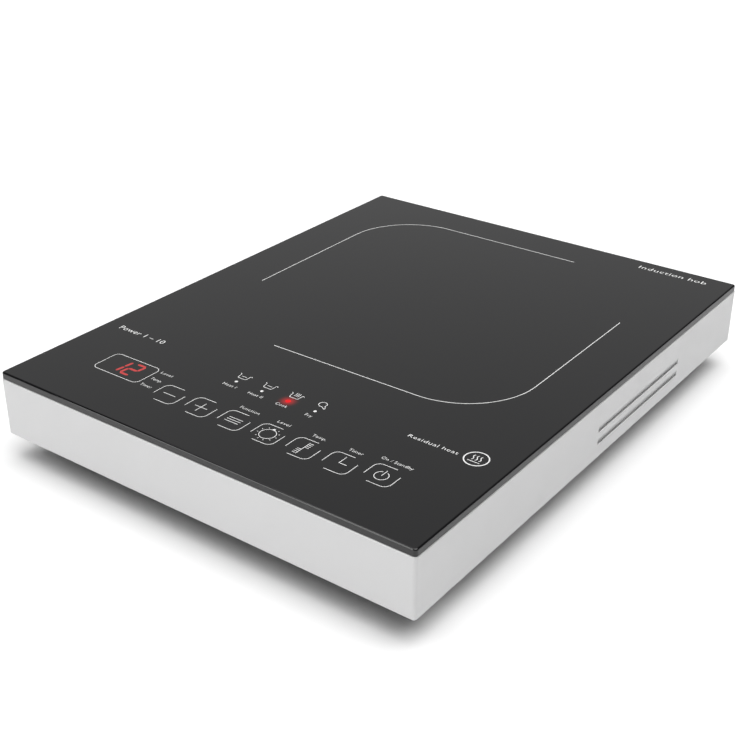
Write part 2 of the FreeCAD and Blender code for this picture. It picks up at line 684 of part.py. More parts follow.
def cord_inlet():
    """A black plate in the rear wall that holds the rubber gland."""
    centre_y = half_y - d.inlet_depth / 2
    low = d.inlet_z - d.inlet_height / 2
    block = box("inlet_block", (d.inlet_x, centre_y), low, (d.inlet_width, d.inlet_depth, d.inlet_height))
    lip = box("inlet_lip", (d.inlet_x, inner_y - 0.8), low - d.inlet_lip,
              (d.inlet_width + d.inlet_lip * 2, 1.6, d.inlet_height + d.inlet_lip * 2))
    seat = bar("inlet_seat", (d.inlet_x, half_y - 12, d.inlet_z), d.gland_radius, 20, "Y")
    dish = bar("inlet_dish", (d.inlet_x, half_y - 1.6, d.inlet_z), d.gland_flange, 5, "Y")
    subpart("cord_inlet_plate", cut("inlet_plate", fuse("inlet_solid", block, lip), seat, dish))
    inner_end = half_y - d.gland_length
    outer = bar("gland_body", (d.inlet_x, inner_end, d.inlet_z), d.gland_radius, d.gland_length, "Y")
    collar = bar("gland_collar", (d.inlet_x, half_y - 1.6, d.inlet_z), d.gland_flange - 0.3, 1.6, "Y")
    stop = bar("gland_stop", (d.inlet_x, half_y - d.inlet_depth - 2, d.inlet_z), d.gland_radius + 1.6, 2,
               "Y")
    bore = bar("gland_bore", (d.inlet_x, inner_end - 1, d.inlet_z), d.gland_bore, d.gland_length + 2, "Y")
    subpart("cord_gland", cut("gland_solid", fuse("gland_outer", outer, collar, stop), bore))


# ---- induction coil ----


def coil_former():
    body = new_body("former_disc")
    pad(body, circle(sketch_on(body, "former_outline", centre=zone, height=d.former_base), d.former_radius),
        d.former_thick, "former_pad")
    rim = ring("former_rim", zone, former_top, d.former_radius, d.former_radius - 2, d.wire_radius * 2)
    hub = ring("former_hub", zone, d.former_base - 4, d.hub_radius, d.hub_radius - 2,
               coil_top - d.former_base + 4)
    ears = [box(f"former_ear{i}", at, d.former_base, (d.ear_size * 2, d.ear_size * 2, d.former_thick))
            for i, at in enumerate(ear_places)]
    solid = fuse("former_solid", body, rim, hub, *ears)
    holes = [rod(f"ear_hole{i}", at, d.former_base, d.screw_radius + 0.5, d.former_thick)
             for i, at in enumerate(ear_places)]
    mouth = rod("former_mouth", zone, d.former_base, d.cap_radius + 0.7, d.former_thick)
    windows = []
    for i in range(8):
        x, y = polar(70, 45 * i + 22.5, (0, float(d.zone_y)))
        windows.append(rod(f"former_window{i}", (x, y), d.former_base, 7, d.former_thick))
    windows += [rod(f"lead_hole{i}", at, d.former_base, d.lead_radius + 0.4, d.former_thick)
                for i, at in enumerate(coil_ends)]
    subpart("coil_former", cut("former_with_holes", solid, *holes, mouth, *windows))


def coil_winding():
    """A flat spiral made of half rings, each on a centre a quarter pitch from the middle."""
    height, shift = float(former_top + d.wire_radius), float(d.wire_pitch) / 4
    halves = []
    for i in range(int(float(d.coil_turns)) * 2):
        side = 1 if i % 2 == 0 else -1
        centre = Vector(-side * shift, float(d.zone_y), height)
        reach = float(d.coil_inner) + shift + 2 * shift * i
        section = Part.Face(octagon(float(d.wire_radius), centre + Vector(side * reach, 0, 0)))
        halves.append(section.revolve(centre, Vector(0, 0, 1), 180))
    subpart("coil_winding", made("coil_spiral", halves[0].fuse(halves[1:])))


def ferrite_bars():
    bars = []
    length, reach = d.ferrite_length, d.ferrite_inner + d.ferrite_length / 2
    for i in range(int(float(d.ferrite_count))):
        heading = 360 / float(d.ferrite_count) * i
        item = doc.addObject("Part::Box", f"ferrite{i}")
        bind(item, Length=length, Width=d.ferrite_width, Height=d.ferrite_thick)
        turned = Rotation(Vector(0, 0, 1), heading)
        start = turned.multVec(Vector(float(reach - length / 2), -float(d.ferrite_width) / 2, 0))
        item.Placement = Placement(Vector(), turned)
        bars.append(place(item, start.x, d.zone_y + start.y, d.former_base - d.ferrite_thick))
    subpart("ferrite_bars", group("ferrite_group", *bars))


def mica():
    subpart("mica_disc", ring("mica_solid", zone, coil_top, d.former_radius, d.mica_hole, d.mica_thick))


def coil_mounting():
    gap = float(d.former_base - coil_post_top)
    shape = spring_shape(float(d.post_radius) - 0.8, float(d.spring_wire), gap, 5)
    springs = []
    for i, (x, y) in enumerate(ear_places):
        springs.append(place(made(f"coil_spring{i}", shape.copy()), x, y, coil_post_top + d.spring_wire))
    subpart("coil_springs", group("coil_spring_group", *springs))
    add_screws("coil_screw", ear_places, former_top, as_size(20))


def pan_sensor():
    lower = ring("cap_skirt", zone, cap_base - 3, d.cap_radius, d.cap_radius - 1.2, 3)
    top = rod("cap_top", zone, cap_base, d.cap_radius, d.cap_height)
    nest = rod("cap_nest", zone, cap_base, d.bead_radius, d.cap_height - 1)
    subpart("sensor_cap", cut("cap_solid", fuse("cap_outer", lower, top), nest))
    bead = rod("sensor_bead", zone, cap_base, d.bead_radius, d.cap_height - 1)
    leads = [rod(f"sensor_lead{i}", (as_size(x), d.zone_y), d.former_base - 6, 0.35,
                 cap_base - d.former_base + 6)
             for i, x in enumerate((-0.7, 0.7))]
    subpart("pan_sensor", fuse("sensor_solid", bead, *leads))
    height = float(cap_base - d.former_base + 4)
    shape = spring_shape(3.6, float(d.spring_wire), height, 4)
    spring = place(made("sensor_spring_wire", shape), *zone, d.former_base - 4 + d.spring_wire)
    subpart("sensor_spring", spring)
    seat = ring("seat_disc", zone, d.former_base - 5, d.hub_radius, 2.4, 1)
    subpart("sensor_seat", seat)


def coil_leads():
    """Two sleeved leads from the winding down to the screw terminals on the power board."""
    (x, y), (u, v) = coil_ends
    low, high, turn_y, end_y = d.inner_lead_z, d.outer_lead_z, d.inner_lead_y, d.lead_post_y
    routes = [
        [(x, y, former_top), (x, y, low), (x, turn_y, low), (d.inner_post_x, turn_y, low),
         (d.inner_post_x, end_y, low), (d.inner_post_x, end_y, lead_base)],
        [(u, v, former_top), (u, v, high), (d.outer_post_x, v, high), (d.outer_post_x, end_y, high),
         (d.outer_post_x, end_y, lead_base)],
    ]
    parts = [made(f"coil_lead{i}", tube(f"coil_lead{i}", route, float(d.lead_radius), float(d.lead_bend)))
             for i, route in enumerate(routes)]
    subpart("coil_leads", group("coil_lead_group", *parts))
    posts = [rod(f"terminal_post{i}", (at_x, end_y), board_top, d.lead_post_radius, d.lead_post_height)
             for i, at_x in enumerate((d.inner_post_x, d.outer_post_x))]
    subpart("coil_terminals", group("terminal_group", *posts))


# ---- fan ----


def fan_housing():
    body = new_body("fan_block")
    outline = sketch_on(body, "fan_outline", centre=fan_at, height=fan_base)
    pad(body, rectangle(outline, d.fan_size, d.fan_size), d.fan_thick, "fan_pad")
    dress(body, "fan_corners", d.fan_corner, upright)
    bore = circle(sketch_on(body, "fan_bore", centre=fan_at, height=fan_top), d.fan_bore)
    pocket(body, bore, d.fan_thick, "fan_pocket")
    waist = box("fan_waist", fan_at, fan_base + d.fan_flange, (200, 200, d.fan_thick - d.fan_flange * 2))
    core = rod("fan_core", fan_at, fan_base, d.fan_bore + 1.6, d.fan_thick)
    trimmed = cut("fan_trimmed", body, cut("fan_relief", waist, core))
    plate_top = fan_top - d.fan_plate
    struts = []
    for i in range(4):
        item = doc.addObject("Part::Box", f"fan_strut{i}")
        bind(item, Length=d.fan_bore - 1, Width=d.strut_width, Height=d.fan_plate)
        heading = Rotation(Vector(0, 0, 1), 90 * i + 30)
        corner = heading.multVec(Vector(2, -float(d.strut_width) / 2, 0))
        item.Placement = Placement(Vector(), heading)
        struts.append(place(item, d.fan_x + corner.x, d.fan_y + corner.y, plate_top))
    hub = rod("fan_hub_plate", fan_at, plate_top, d.fan_hub, d.fan_plate)
    holes = [rod(f"fan_hole{i}", at, fan_base, d.screw_radius + 0.6, d.fan_thick)
             for i, at in enumerate(fan_holes)]
    seat = rod("fan_tube_seat", fan_at, plate_top, d.tube_radius, d.fan_plate)
    solid = fuse("fan_solid", trimmed, hub, *struts)
    subpart("fan_housing", cut("fan_with_holes", solid, *holes, seat))


def fan_bearing():
    """The bearing tube that stands down from the hub plate, with the bush inside it."""
    low = rotor_roof + 1.6
    tube_part = ring("fan_tube", fan_at, low, d.tube_radius, d.bearing_radius, fan_top - low - 0.5)
    bush = ring("fan_bush", fan_at, low, d.bearing_radius, d.shaft_radius + d.bearing_gap,
                fan_top - low - 2.5)
    subpart("fan_bearing", group("fan_bearing_group", tube_part, bush))


def fan_stator():
    base = rotor_roof + 4
    core = rod("stator_core", fan_at, base, as_size(7), d.stator_height)
    poles = []
    for i, size in enumerate([(d.stator_radius * 2, d.pole_width), (d.pole_width, d.stator_radius * 2)]):
        poles.append(box(f"stator_pole{i}", fan_at, base, (size[0], size[1], d.stator_height)))
    shoes = []
    for i in range(4):
        x, y = polar(float(d.stator_radius) - 0.6, 90 * i)
        size = (1.8, 8, d.stator_height) if i % 2 == 0 else (8, 1.8, d.stator_height)
        shoes.append(box(f"stator_shoe{i}", (d.fan_x + x, d.fan_y + y), base, size))
    solid = fuse("stator_solid", core, *poles, *shoes)
    subpart("fan_stator", cut("stator", solid, rod("stator_bore", fan_at, base, d.tube_radius, 20)))
    windings = []
    for i in range(4):
        x, y = polar(9.3, 90 * i)
        size = (3.6, 8.4) if i % 2 == 0 else (8.4, 3.6)
        wound = box(f"pole_winding{i}", (d.fan_x + x, d.fan_y + y), base - 1.2,
                    (*size, d.stator_height + 2.4))
        windings.append(wound)
    windings_solid = cut("windings", fuse("windings_all", *windings), *[
        box(f"winding_core{i}", fan_at, base, (size[0], size[1], d.stator_height))
        for i, size in enumerate([(60, d.pole_width), (d.pole_width, 60)])],
        rod("winding_clear", fan_at, base, as_size(7), d.stator_height))
    subpart("fan_windings", windings_solid)
    board = ring("fan_board_disc", fan_at, base + d.stator_height + 1.2, as_size(13.5), d.tube_radius, 1.2)
    subpart("fan_board", board)


def impeller():
    """A cup with blades: the cup hangs over the stator with its roof toward the intake."""
    height = d.impeller_height
    cup = rod("rotor_cup", fan_at, rotor_base, d.impeller_hub, height)
    hollow = rod("rotor_hollow", fan_at, rotor_roof, d.impeller_hub - d.impeller_wall, height)
    boss = rod("rotor_boss", fan_at, rotor_roof, as_size(3), 1.2)
    count = int(float(d.blade_count))
    blade = blade_shape()
    blades = [made(f"blade{i}", blade.copy(),
                   Placement(Vector(float(d.fan_x), float(d.fan_y), 0),
                             Rotation(Vector(0, 0, 1), 360 / count * i)))
              for i in range(count)]
    solid = fuse("rotor_solid", cut("rotor_shell", cup, hollow), boss, *blades)
    socket = rod("rotor_socket", fan_at, rotor_base + 0.6, d.shaft_radius, 20)
    subpart("impeller", cut("rotor_with_socket", solid, socket))
    magnet_outer = d.impeller_hub - d.impeller_wall
    magnet = ring("magnet_ring", fan_at, rotor_roof + 2.6, magnet_outer, magnet_outer - d.magnet_thick,
                  d.magnet_height)
    subpart("rotor_magnet", magnet)
    shaft = rod("shaft_rod", fan_at, rotor_base + 0.6, d.shaft_radius, shaft_top - rotor_base - 0.6)
    subpart("rotor_shaft", shaft)


def blade_shape():
    """One swept blade, lofted from a steep root to a flat tip, trimmed to the hub and the tip circle."""
    base, rise, half = float(rotor_base) + 0.4, float(d.impeller_height) - 0.8, float(d.blade_thick) / 2
    wires = []
    for radius, pitch, lean in ((12, 52, 0), (30, 42, 4), (46, 36, 10)):
        points = []
        for side, steps in ((-1, range(5)), (1, range(4, -1, -1))):
            for step in steps:
                t = step / 4
                across = (t - 0.5) * rise / math.tan(math.radians(pitch))
                bulge = 1.6 * math.sin(math.pi * t) + side * half
                points.append(Vector(radius, lean + across + bulge, base + rise * t))
        wires.append(Part.makePolygon(points + points[:1]))
    loft = Part.makeLoft(wires, True, True)
    start = Vector(0, 0, float(rotor_base))
    tip = Part.makeCylinder(float(d.impeller_tip), float(d.impeller_height), start)
    root = Part.makeCylinder(float(d.impeller_hub - d.impeller_wall) + 0.4, float(d.impeller_height), start)
    return loft.common(tip.cut(root))


def fan_fittings():
    add_screws("fan_screw", fan_holes, fan_top, d.fan_thick + 3)
    x, y = float(d.fan_x + d.fan_size / 2), float(d.fan_y) - 43
    high = float(fan_top) + 0.9
    route = [(x - 1.2, y, high), (x + 9, y, high), (x + 9, y, float(board_top))]
    inner_leads.append(made("fan_lead", tube("fan_lead", route, 0.9, 2)))


# ---- power electronics ----


def board(label, x, y, length, width, base, holes, hole_radius):
    """A circuit board with its screw holes."""
    body = new_body(label + "_sheet")
    outline = rectangle(sketch_on(body, label + "_outline", centre=(x, y), height=base), length, width)
    pad(body, outline, d.board_thick, label + "_pad")
    dress(body, label + "_corners", 2, upright)
    drills = [rod(f"{label}_hole{i}", at, base, hole_radius, d.board_thick) for i, at in enumerate(holes)]
    subpart(label, cut(label + "_drilled", body, *drills))


def spot(alias):
    """The sheet's place for a part."""
    return getattr(d, alias + "_x"), getattr(d, alias + "_y")


def extent(alias):
    """The sheet's length, width and height for a part."""
    return tuple(getattr(d, f"{alias}_{side}") for side in ("length", "width", "height"))


def block(label, alias, base=None):
    """A plain moulded block on a board."""
    item = box(label + "_block", spot(alias), board_top if base is None else base, extent(alias))
    return subpart(label, rounded(label + "_edges", item, 0.6, upright))


def heatsink():
    low, at = sink_base, (d.sink_x, d.sink_y)
    top = low + d.sink_height
    slab = box("sink_slab", at, low, (d.sink_length, d.sink_width, d.sink_plate))
    fins = []
    step = (d.sink_width - d.fin_thick) / (d.fin_count - 1)
    first = d.sink_y - d.sink_width / 2 + d.fin_thick / 2
    for i in range(int(float(d.fin_count))):
        fins.append(box(f"sink_fin{i}", (d.sink_x, first + step * i), low,
                        (d.sink_length, d.fin_thick, top - low)))
    legs = [box(f"sink_leg{i}", (d.sink_x + side * (d.sink_length / 2 - 2.5), d.sink_y), board_top,
                (5, 20, low - board_top)) for i, side in enumerate((-1, 1))]
    holes = [rod(f"sink_hole{i}", (x, d.sink_y + d.chip_hole), low, d.screw_radius, d.sink_plate)
             for i, x in enumerate(chip_columns)]
    solid = fuse("sink_solid", slab, *fins, *legs)
    subpart("heatsink", cut("heatsink_solid", solid, *holes))


def power_chips():
    """The transistor and the rectifier lie under the heatsink, each held by a screw from below."""
    low, high = board_top + 0.4, sink_base
    names = ("power_transistor", "bridge_rectifier")
    sizes = ((16, 5, 3), (30, 5, 4))
    for name, x, (wide, _, legs) in zip(names, chip_columns, sizes):
        top = high - 0.3 if name == "power_transistor" else high
        case = box(name + "_case", (x, d.sink_y + 4), low, (wide, 21, top - low))
        hole = rod(name + "_hole", (x, d.sink_y + d.chip_hole), low, d.screw_radius, top - low)
        pins = []
        for i in range(legs):
            shift = (i - (legs - 1) / 2) * (wide / legs) * 0.85
            foot_y = d.sink_y - 10.5
            pins.append(box(f"{name}_pin{i}", (x + shift, foot_y + 2), low + 1.6, (1.1, 4.2, 0.7)))
            pins.append(box(f"{name}_pin_foot{i}", (x + shift, foot_y), board_top, (1.1, 0.7, 2.7)))
        subpart(name, fuse(name + "_solid", cut(name + "_drilled", case, hole), *pins))
    x = chip_columns[0]
    sheet = box("pad_sheet", (x, d.sink_y + 4), high - 0.3, (20, 25, 0.3))
    hole = rod("pad_hole", (x, d.sink_y + d.chip_hole), high - 0.3, d.screw_radius, 0.3)
    subpart("insulating_pad", cut("pad_solid", sheet, hole))
    places = [(x, d.sink_y + d.chip_hole) for x in chip_columns]
    parts = [rod(f"chip_stud{i}", at, low, d.screw_radius, high + d.sink_plate - low)
             for i, at in enumerate(places)]
    heads = [ring(f"chip_nut{i}", at, high + d.sink_plate, as_size(2), d.screw_radius, 1)
             for i, at in enumerate(places)]
    subpart("heatsink_screws", fuse("heatsink_screws_solid", *parts, *heads))


def capacitors():
    block("resonant_capacitor", "resonant")
    block("smoothing_capacitor", "smoothing")
    cans = []
    for i, (x, radius, high) in enumerate(((-22, 5, 14), (-8, 6.3, 17), (7, 5, 14))):
        can = rod(f"can{i}", (as_size(x), d.can_y), board_top, as_size(radius), as_size(high))
        cans.append(rounded(f"can_edge{i}", can, 0.8, level(board_top + high)))
    subpart("electrolytic_cans", group("can_group", *cans))


def power_parts():
    core = box("current_block", spot("current"), board_top, extent("current"))
    eye = bar("current_hole", (d.current_x - 10, d.current_y, board_top + d.current_eye_z), d.current_eye,
              20, "X")
    subpart("current_transformer", cut("current_solid", core, eye))
    core = box("aux_core", spot("aux"), board_top + 2, extent("aux"))
    bobbin = box("aux_bobbin", spot("aux"), board_top, (d.bobbin_side, d.bobbin_side, d.bobbin_height))
    subpart("auxiliary_transformer", fuse("aux_solid", core, bobbin))
    case = rod("buzzer_case", spot("buzzer"), board_top, d.buzzer_radius, d.buzzer_height)
    mouth = rod("buzzer_well", spot("buzzer"), board_top + 5, d.buzzer_mouth, as_size(2))
    subpart("buzzer", cut("buzzer_solid", case, mouth))


def control_chips():
    case = box("chip_case", spot("chip"), board_top + 0.2, extent("chip"))
    first = d.chip_x - d.pin_pitch * (d.chip_pins - 1) / 2
    pins = [box(f"chip_pin{i}", (first + d.pin_pitch * i, d.chip_y), board_top, (0.6, 11, 1.2))
            for i in range(int(float(d.chip_pins)))]
    touch_chip = box("touch_chip", spot("touch_chip"), panel_top, (10, 10, 1.6))
    subpart("control_chips", group("chip_group", fuse("chip_solid", case, *pins), touch_chip))


def board_connectors():
    header = box("header_block", spot("header"), board_top, (12, 6, 7))
    header_slot = box("header_slot", spot("header"), board_top + 2, (10, 4, 5))
    socket = box("ribbon_block", (d.ribbon_x, d.socket_y), board_top, (16, 6, 6))
    plug = box("plug_block", (d.ribbon_x, d.plug_y), panel_top, (16, 6, 3))
    hollow = cut("header_solid", header, header_slot)
    subpart("board_connectors", group("connector_group", hollow, socket, plug))


def choke():
    """A toroid with turns all round it, apart from a gap between its two windings."""
    base = board_top + d.choke_lift
    subpart("choke_core", ring("toroid", spot("choke"), base, d.choke_outer, d.choke_inner, d.choke_height))
    turns = []
    for i in range(16):
        heading = 22.5 * i
        if heading not in (90, 270):
            at = Placement(Vector(float(d.choke_x), float(d.choke_y), float(base)),
                           Rotation(Vector(0, 0, 1), heading))
            turns.append(made(f"choke_turn{i}", winding_turn(), at))
    subpart("choke_winding", group("winding_group", *turns))


def winding_turn():
    """One square turn of wire that clasps the toroid's section."""
    wire, slack, height = float(d.choke_wire), 0.1, float(d.choke_height)
    inner, outer = float(d.choke_inner) - slack, float(d.choke_outer)
    hoop = Part.makeBox(outer - inner + 2 * wire - slack, wire, height + 2 * wire,
                        Vector(inner - wire, -wire / 2, -wire))
    space = Part.makeBox(outer - inner, wire, height, Vector(inner, -wire / 2, 0))
    return hoop.cut(space)


def filter_parts():
    block("mains_capacitor", "mains")
    disc = bar("varistor_disc", (d.varistor_x, d.varistor_y - 2, board_top + d.varistor_radius + 2.5),
               d.varistor_radius, d.varistor_thick, "Y")
    wires = [rod(f"varistor_leg{i}", (d.varistor_x + side * d.varistor_legs / 2, d.varistor_y), board_top,
                 0.45, as_size(4)) for i, side in enumerate((-1, 1))]
    subpart("varistor", fuse("varistor_solid", disc, *wires))
    left, axis_z = d.fuse_x - d.fuse_length / 2, board_top + 5
    glass_tube = bar("fuse_tube", (left, d.fuse_y, axis_z), d.fuse_radius, d.fuse_length, "X")
    ends = (left - 1, left + d.fuse_length - d.fuse_cap + 1)
    caps = [bar(f"fuse_end{i}", (x, d.fuse_y, axis_z), d.fuse_radius + 0.3, d.fuse_cap, "X")
            for i, x in enumerate(ends)]
    clips = [box(f"fuse_clip{i}", (x + d.fuse_cap / 2, d.fuse_y), board_top, (4, 5, 3))
             for i, x in enumerate(ends)]
    subpart("mains_fuse", fuse("fuse_solid", glass_tube, *caps, *clips))
    columns = [d.terminal_x + side * d.terminal_pitch / 2 for side in (-1, 1)]
    terminal = box("terminal_case", spot("terminal"), board_top, extent("terminal"))
    wells = [rod(f"terminal_well{i}", (x, d.terminal_y), board_top + 7, as_size(2.6), as_size(5))
             for i, x in enumerate(columns)]
    mouths = [bar(f"terminal_mouth{i}", (x, d.terminal_y - 8, board_top + 3.4), 2, 8, "Y")
              for i, x in enumerate(columns)]
    subpart("mains_terminal_block", cut("terminal_solid", terminal, *wells, *mouths))


def link_leads():
    """Two short leads from the filter board to the power board, bound with the fan's."""
    for i, y in enumerate((-129, -136)):
        route = [(d.link_left, y, board_top), (d.link_left, y, d.link_z), (d.link_right, y, d.link_z),
                 (d.link_right, y, board_top)]
        shape = tube(f"link_lead{i}", route, float(d.link_radius), float(d.link_bend))
        inner_leads.append(made(f"link_lead{i}", shape))
    subpart("inner_leads", group("inner_lead_group", *inner_leads))


# ---- control panel under the glass ----


def control_panel():
    at = (0, d.panel_y)
    tray = box("carrier_sheet", at, carrier_base,
               (d.panel_post_x * 2 + 10, d.carrier_depth, d.carrier_thick))
    tray = rounded("carrier_corners", tray, 5, upright)
    holes = [rod(f"carrier_hole{i}", place_at, carrier_base, d.screw_radius + 0.3, d.carrier_thick)
             for i, place_at in enumerate(carrier_posts)]
    board_at = board_holes(d.panel_x, d.panel_y, d.panel_length, d.panel_width, 4)
    pilots = [rod(f"carrier_pilot{i}", place_at, carrier_base, d.pilot_radius, d.carrier_thick)
              for i, place_at in enumerate(board_at)]
    windows = [box(f"carrier_window{i}", (x, d.panel_y), carrier_base, (24, 44, d.carrier_thick))
               for i, x in enumerate((as_size(-60), as_size(-20), as_size(20), as_size(60)))]
    subpart("panel_carrier", cut("carrier_solid", tray, *holes, *pilots, *windows))
    board("control_board", d.panel_x, d.panel_y, d.panel_length, d.panel_width, d.panel_base, board_at,
          d.screw_radius + 0.2)
    add_screws("carrier_screw", carrier_posts, d.panel_base, d.screw_length)
    add_screws("panel_screw", board_at, panel_top, d.board_thick + 2)
    add_screws("board_screw", power_holes + filter_holes, board_top, as_size(7))
    subpart("inner_screws", group("inner_screw_group", *inner_screws))


def panel_parts():
    gap, count = float(glass_base - panel_top), int(float(d.key_count))
    shape = spring_shape(float(d.key_spring_radius), float(d.key_spring_wire), gap, 3)
    springs = []
    for i in range(count):
        y = d.power_key_y if i == count - 1 else d.key_y
        springs.append(place(made(f"key_spring{i}", shape.copy()), d.key_first_x + d.key_pitch * i, y,
                             panel_top + d.key_spring_wire))
    subpart("touch_springs", group("key_spring_group", *springs))
    block("display_module", "display", panel_top)
    lamps = []
    for i in range(4):
        lamp_at = (d.lamp_first_x + d.lamp_pitch * i, d.lamp_y)
        stem = rod(f"lamp_stem{i}", lamp_at, panel_top, d.lamp_radius, as_size(5))
        flange = rod(f"lamp_flange{i}", lamp_at, panel_top, d.lamp_radius + 0.4, as_size(1))
        dome = doc.addObject("Part::Sphere", f"lamp_dome{i}")
        bind(dome, Radius=d.lamp_radius)
        place(dome, *lamp_at, panel_top + 5)
        lamps.append(fuse(f"lamp{i}", stem, flange, dome))
    subpart("indicator_lamps", group("lamp_group", *lamps))
    over = box("ribbon_over", (d.ribbon_x, as_size(-97.5)), panel_top + 3, (12, 19, 0.8))
    down = box("ribbon_down", (d.ribbon_x, as_size(-88.4)), board_top + 6,
               (12, 0.8, panel_top + 3.8 - board_top - 6))
    subpart("ribbon_cable", fuse("ribbon_solid", over, down))


# ---- the build ----


def build():
    fill_sheet()
    side_frame()
    glass()
    seal()
    bottom_shell()
    feet()
    housing_screws()
    cord_inlet()
    coil_former()
    coil_winding()
    ferrite_bars()
    mica()
    coil_mounting()
    pan_sensor()
    coil_leads()
    fan_housing()
    fan_bearing()
    fan_stator()
    impeller()
    fan_fittings()
    board("power_board", d.power_x, d.power_y, d.power_length, d.power_width, board_base, power_holes,
          d.screw_radius + 0.2)
    board("filter_board", d.filter_x, d.filter_y, d.filter_length, d.filter_width, board_base, filter_holes,
          d.screw_radius + 0.2)
    heatsink()
    power_chips()
    capacitors()
    power_parts()
    control_chips()
    board_connectors()
    choke()
    filter_parts()
    link_leads()
    control_panel()
    panel_parts()


def check_and_write():
    doc.recompute()
    for item in doc.Objects:
        if any(state in ("Invalid", "Error") for state in item.State):
            raise RuntimeError(f"{item.Name} did not recompute: {item.State}")
    os.makedirs("parts", exist_ok=True)
    for item in subparts:
        shape = item.Shape
        if shape.isNull() or not shape.isValid():
            raise RuntimeError(f"{item.Label} has no valid shape")
        shape.exportStep(f"parts/{item.Label}.step")
        print(f"{item.Label}: {len(shape.Solids)} solids, {shape.Volume:.0f} mm3")


build()
check_and_write()
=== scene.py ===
"""Looks of the portable induction cooktop: materials, printed marks, lit display, studio and camera."""

import json
import math

import bmesh
import bpy
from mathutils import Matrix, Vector


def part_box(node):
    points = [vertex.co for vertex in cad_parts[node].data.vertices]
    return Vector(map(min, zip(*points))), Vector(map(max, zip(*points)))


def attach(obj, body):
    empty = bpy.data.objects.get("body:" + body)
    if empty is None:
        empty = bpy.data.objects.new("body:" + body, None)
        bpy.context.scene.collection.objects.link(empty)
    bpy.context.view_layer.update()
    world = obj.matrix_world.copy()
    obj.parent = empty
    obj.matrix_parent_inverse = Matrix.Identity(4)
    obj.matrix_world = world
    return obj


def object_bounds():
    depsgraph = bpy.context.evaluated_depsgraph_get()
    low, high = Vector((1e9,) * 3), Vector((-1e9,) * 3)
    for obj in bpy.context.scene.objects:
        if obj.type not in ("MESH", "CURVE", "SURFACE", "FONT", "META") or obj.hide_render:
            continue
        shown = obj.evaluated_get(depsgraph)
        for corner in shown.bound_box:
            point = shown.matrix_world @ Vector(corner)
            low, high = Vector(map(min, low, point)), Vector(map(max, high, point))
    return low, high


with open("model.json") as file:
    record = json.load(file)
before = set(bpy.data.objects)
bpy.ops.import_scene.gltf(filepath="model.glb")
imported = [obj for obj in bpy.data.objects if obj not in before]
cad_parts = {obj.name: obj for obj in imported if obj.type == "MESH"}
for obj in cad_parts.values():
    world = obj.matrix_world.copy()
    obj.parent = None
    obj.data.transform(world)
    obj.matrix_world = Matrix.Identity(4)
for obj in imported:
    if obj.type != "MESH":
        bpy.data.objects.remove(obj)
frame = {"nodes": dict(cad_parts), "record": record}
cad_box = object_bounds()

MM = 0.001
ROOT = "housing"
LOW, HIGH = (Vector(corner) for corner in cad_box)
GLASS_TOP = HIGH.z


# ---- places taken from the CAD ----


def centre(name):
    low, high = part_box(name)
    return (Vector(low) + Vector(high)) / 2


def row(name, count, radius):
    """The X places of equal round parts that share a node."""
    low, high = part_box(name)
    first, last = low[0] + radius, high[0] - radius
    return [first + (last - first) * i / (count - 1) for i in range(count)]


KEY_COUNT = 7
KEY_RADIUS = 4.9 * MM
KEY_X = row("touch_springs", KEY_COUNT, KEY_RADIUS)
KEY_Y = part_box("touch_springs")[0][1] + KEY_RADIUS
POWER_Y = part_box("touch_springs")[1][1] - KEY_RADIUS
LAMP_COUNT = 4
LAMP_RADIUS = 1.9 * MM
LAMP_X = row("indicator_lamps", LAMP_COUNT, LAMP_RADIUS)
LAMP_Y = centre("indicator_lamps").y
LIT_LAMP = Vector((LAMP_X[2], LAMP_Y, GLASS_TOP))
DISPLAY = centre("display_module")
ZONE = centre("mica_disc")


# ---- shader helpers ----

# where a Mix node keeps its two colours and its mixed colour
MIX_FIRST, MIX_SECOND, MIX_COLOUR = 6, 7, 2
# the range that holds nearly all of a noise texture's values
NOISE_RANGE = (0.3, 0.7)


def new_material(name):
    material = bpy.data.materials.new(name)
    material.use_nodes = True
    tree = material.node_tree
    return material, tree, tree.nodes["Principled BSDF"]


def node(tree, kind, inputs=None, **settings):
    """Adds a node; an input is a plain value or the output socket that feeds it."""
    made = tree.nodes.new(kind)
    for name, value in settings.items():
        setattr(made, name, value)
    for name, value in (inputs or {}).items():
        if isinstance(value, bpy.types.NodeSocket):
            tree.links.new(value, made.inputs[name])
        else:
            made.inputs[name].default_value = value
    return made


def maths(tree, operation, *values):
    return node(tree, "ShaderNodeMath", dict(enumerate(values)), operation=operation).outputs["Value"]


def remap(tree, value, old, new, **settings):
    """Maps one range to another and holds the value at the ends."""
    made = node(tree, "ShaderNodeMapRange", {"Value": value, "From Min": old[0], "From Max": old[1],
                                             "To Min": new[0], "To Max": new[1]}, **settings)
    return made.outputs["Result"]


def grain(tree, scale, detail=2.0, roughness=0.5):
    """Noise fixed to the object; scale is in cells per metre."""
    place = node(tree, "ShaderNodeTexCoord")
    noise = node(tree, "ShaderNodeTexNoise", {"Vector": place.outputs["Object"], "Scale": scale,
                                              "Detail": detail, "Roughness": roughness})
    return noise.outputs["Fac"]


def spread(tree, noise, low, high):
    """Spreads a noise over a range."""
    return remap(tree, noise, NOISE_RANGE, (low, high))


def blend(tree, factor, first, second):
    """Mixes two colours, each a plain colour or an output socket."""
    mixed = node(tree, "ShaderNodeMix", {"Factor": factor}, data_type="RGBA")
    for index, value in ((MIX_FIRST, first), (MIX_SECOND, second)):
        if isinstance(value, bpy.types.NodeSocket):
            tree.links.new(value, mixed.inputs[index])
        else:
            mixed.inputs[index].default_value = (*value, 1)
    return mixed.outputs[MIX_COLOUR]


def bump(tree, shader, height, depth, strength=1.0):
    made = node(tree, "ShaderNodeBump", {"Height": height, "Distance": depth, "Strength": strength})
    tree.links.new(made.outputs["Normal"], shader.inputs["Normal"])


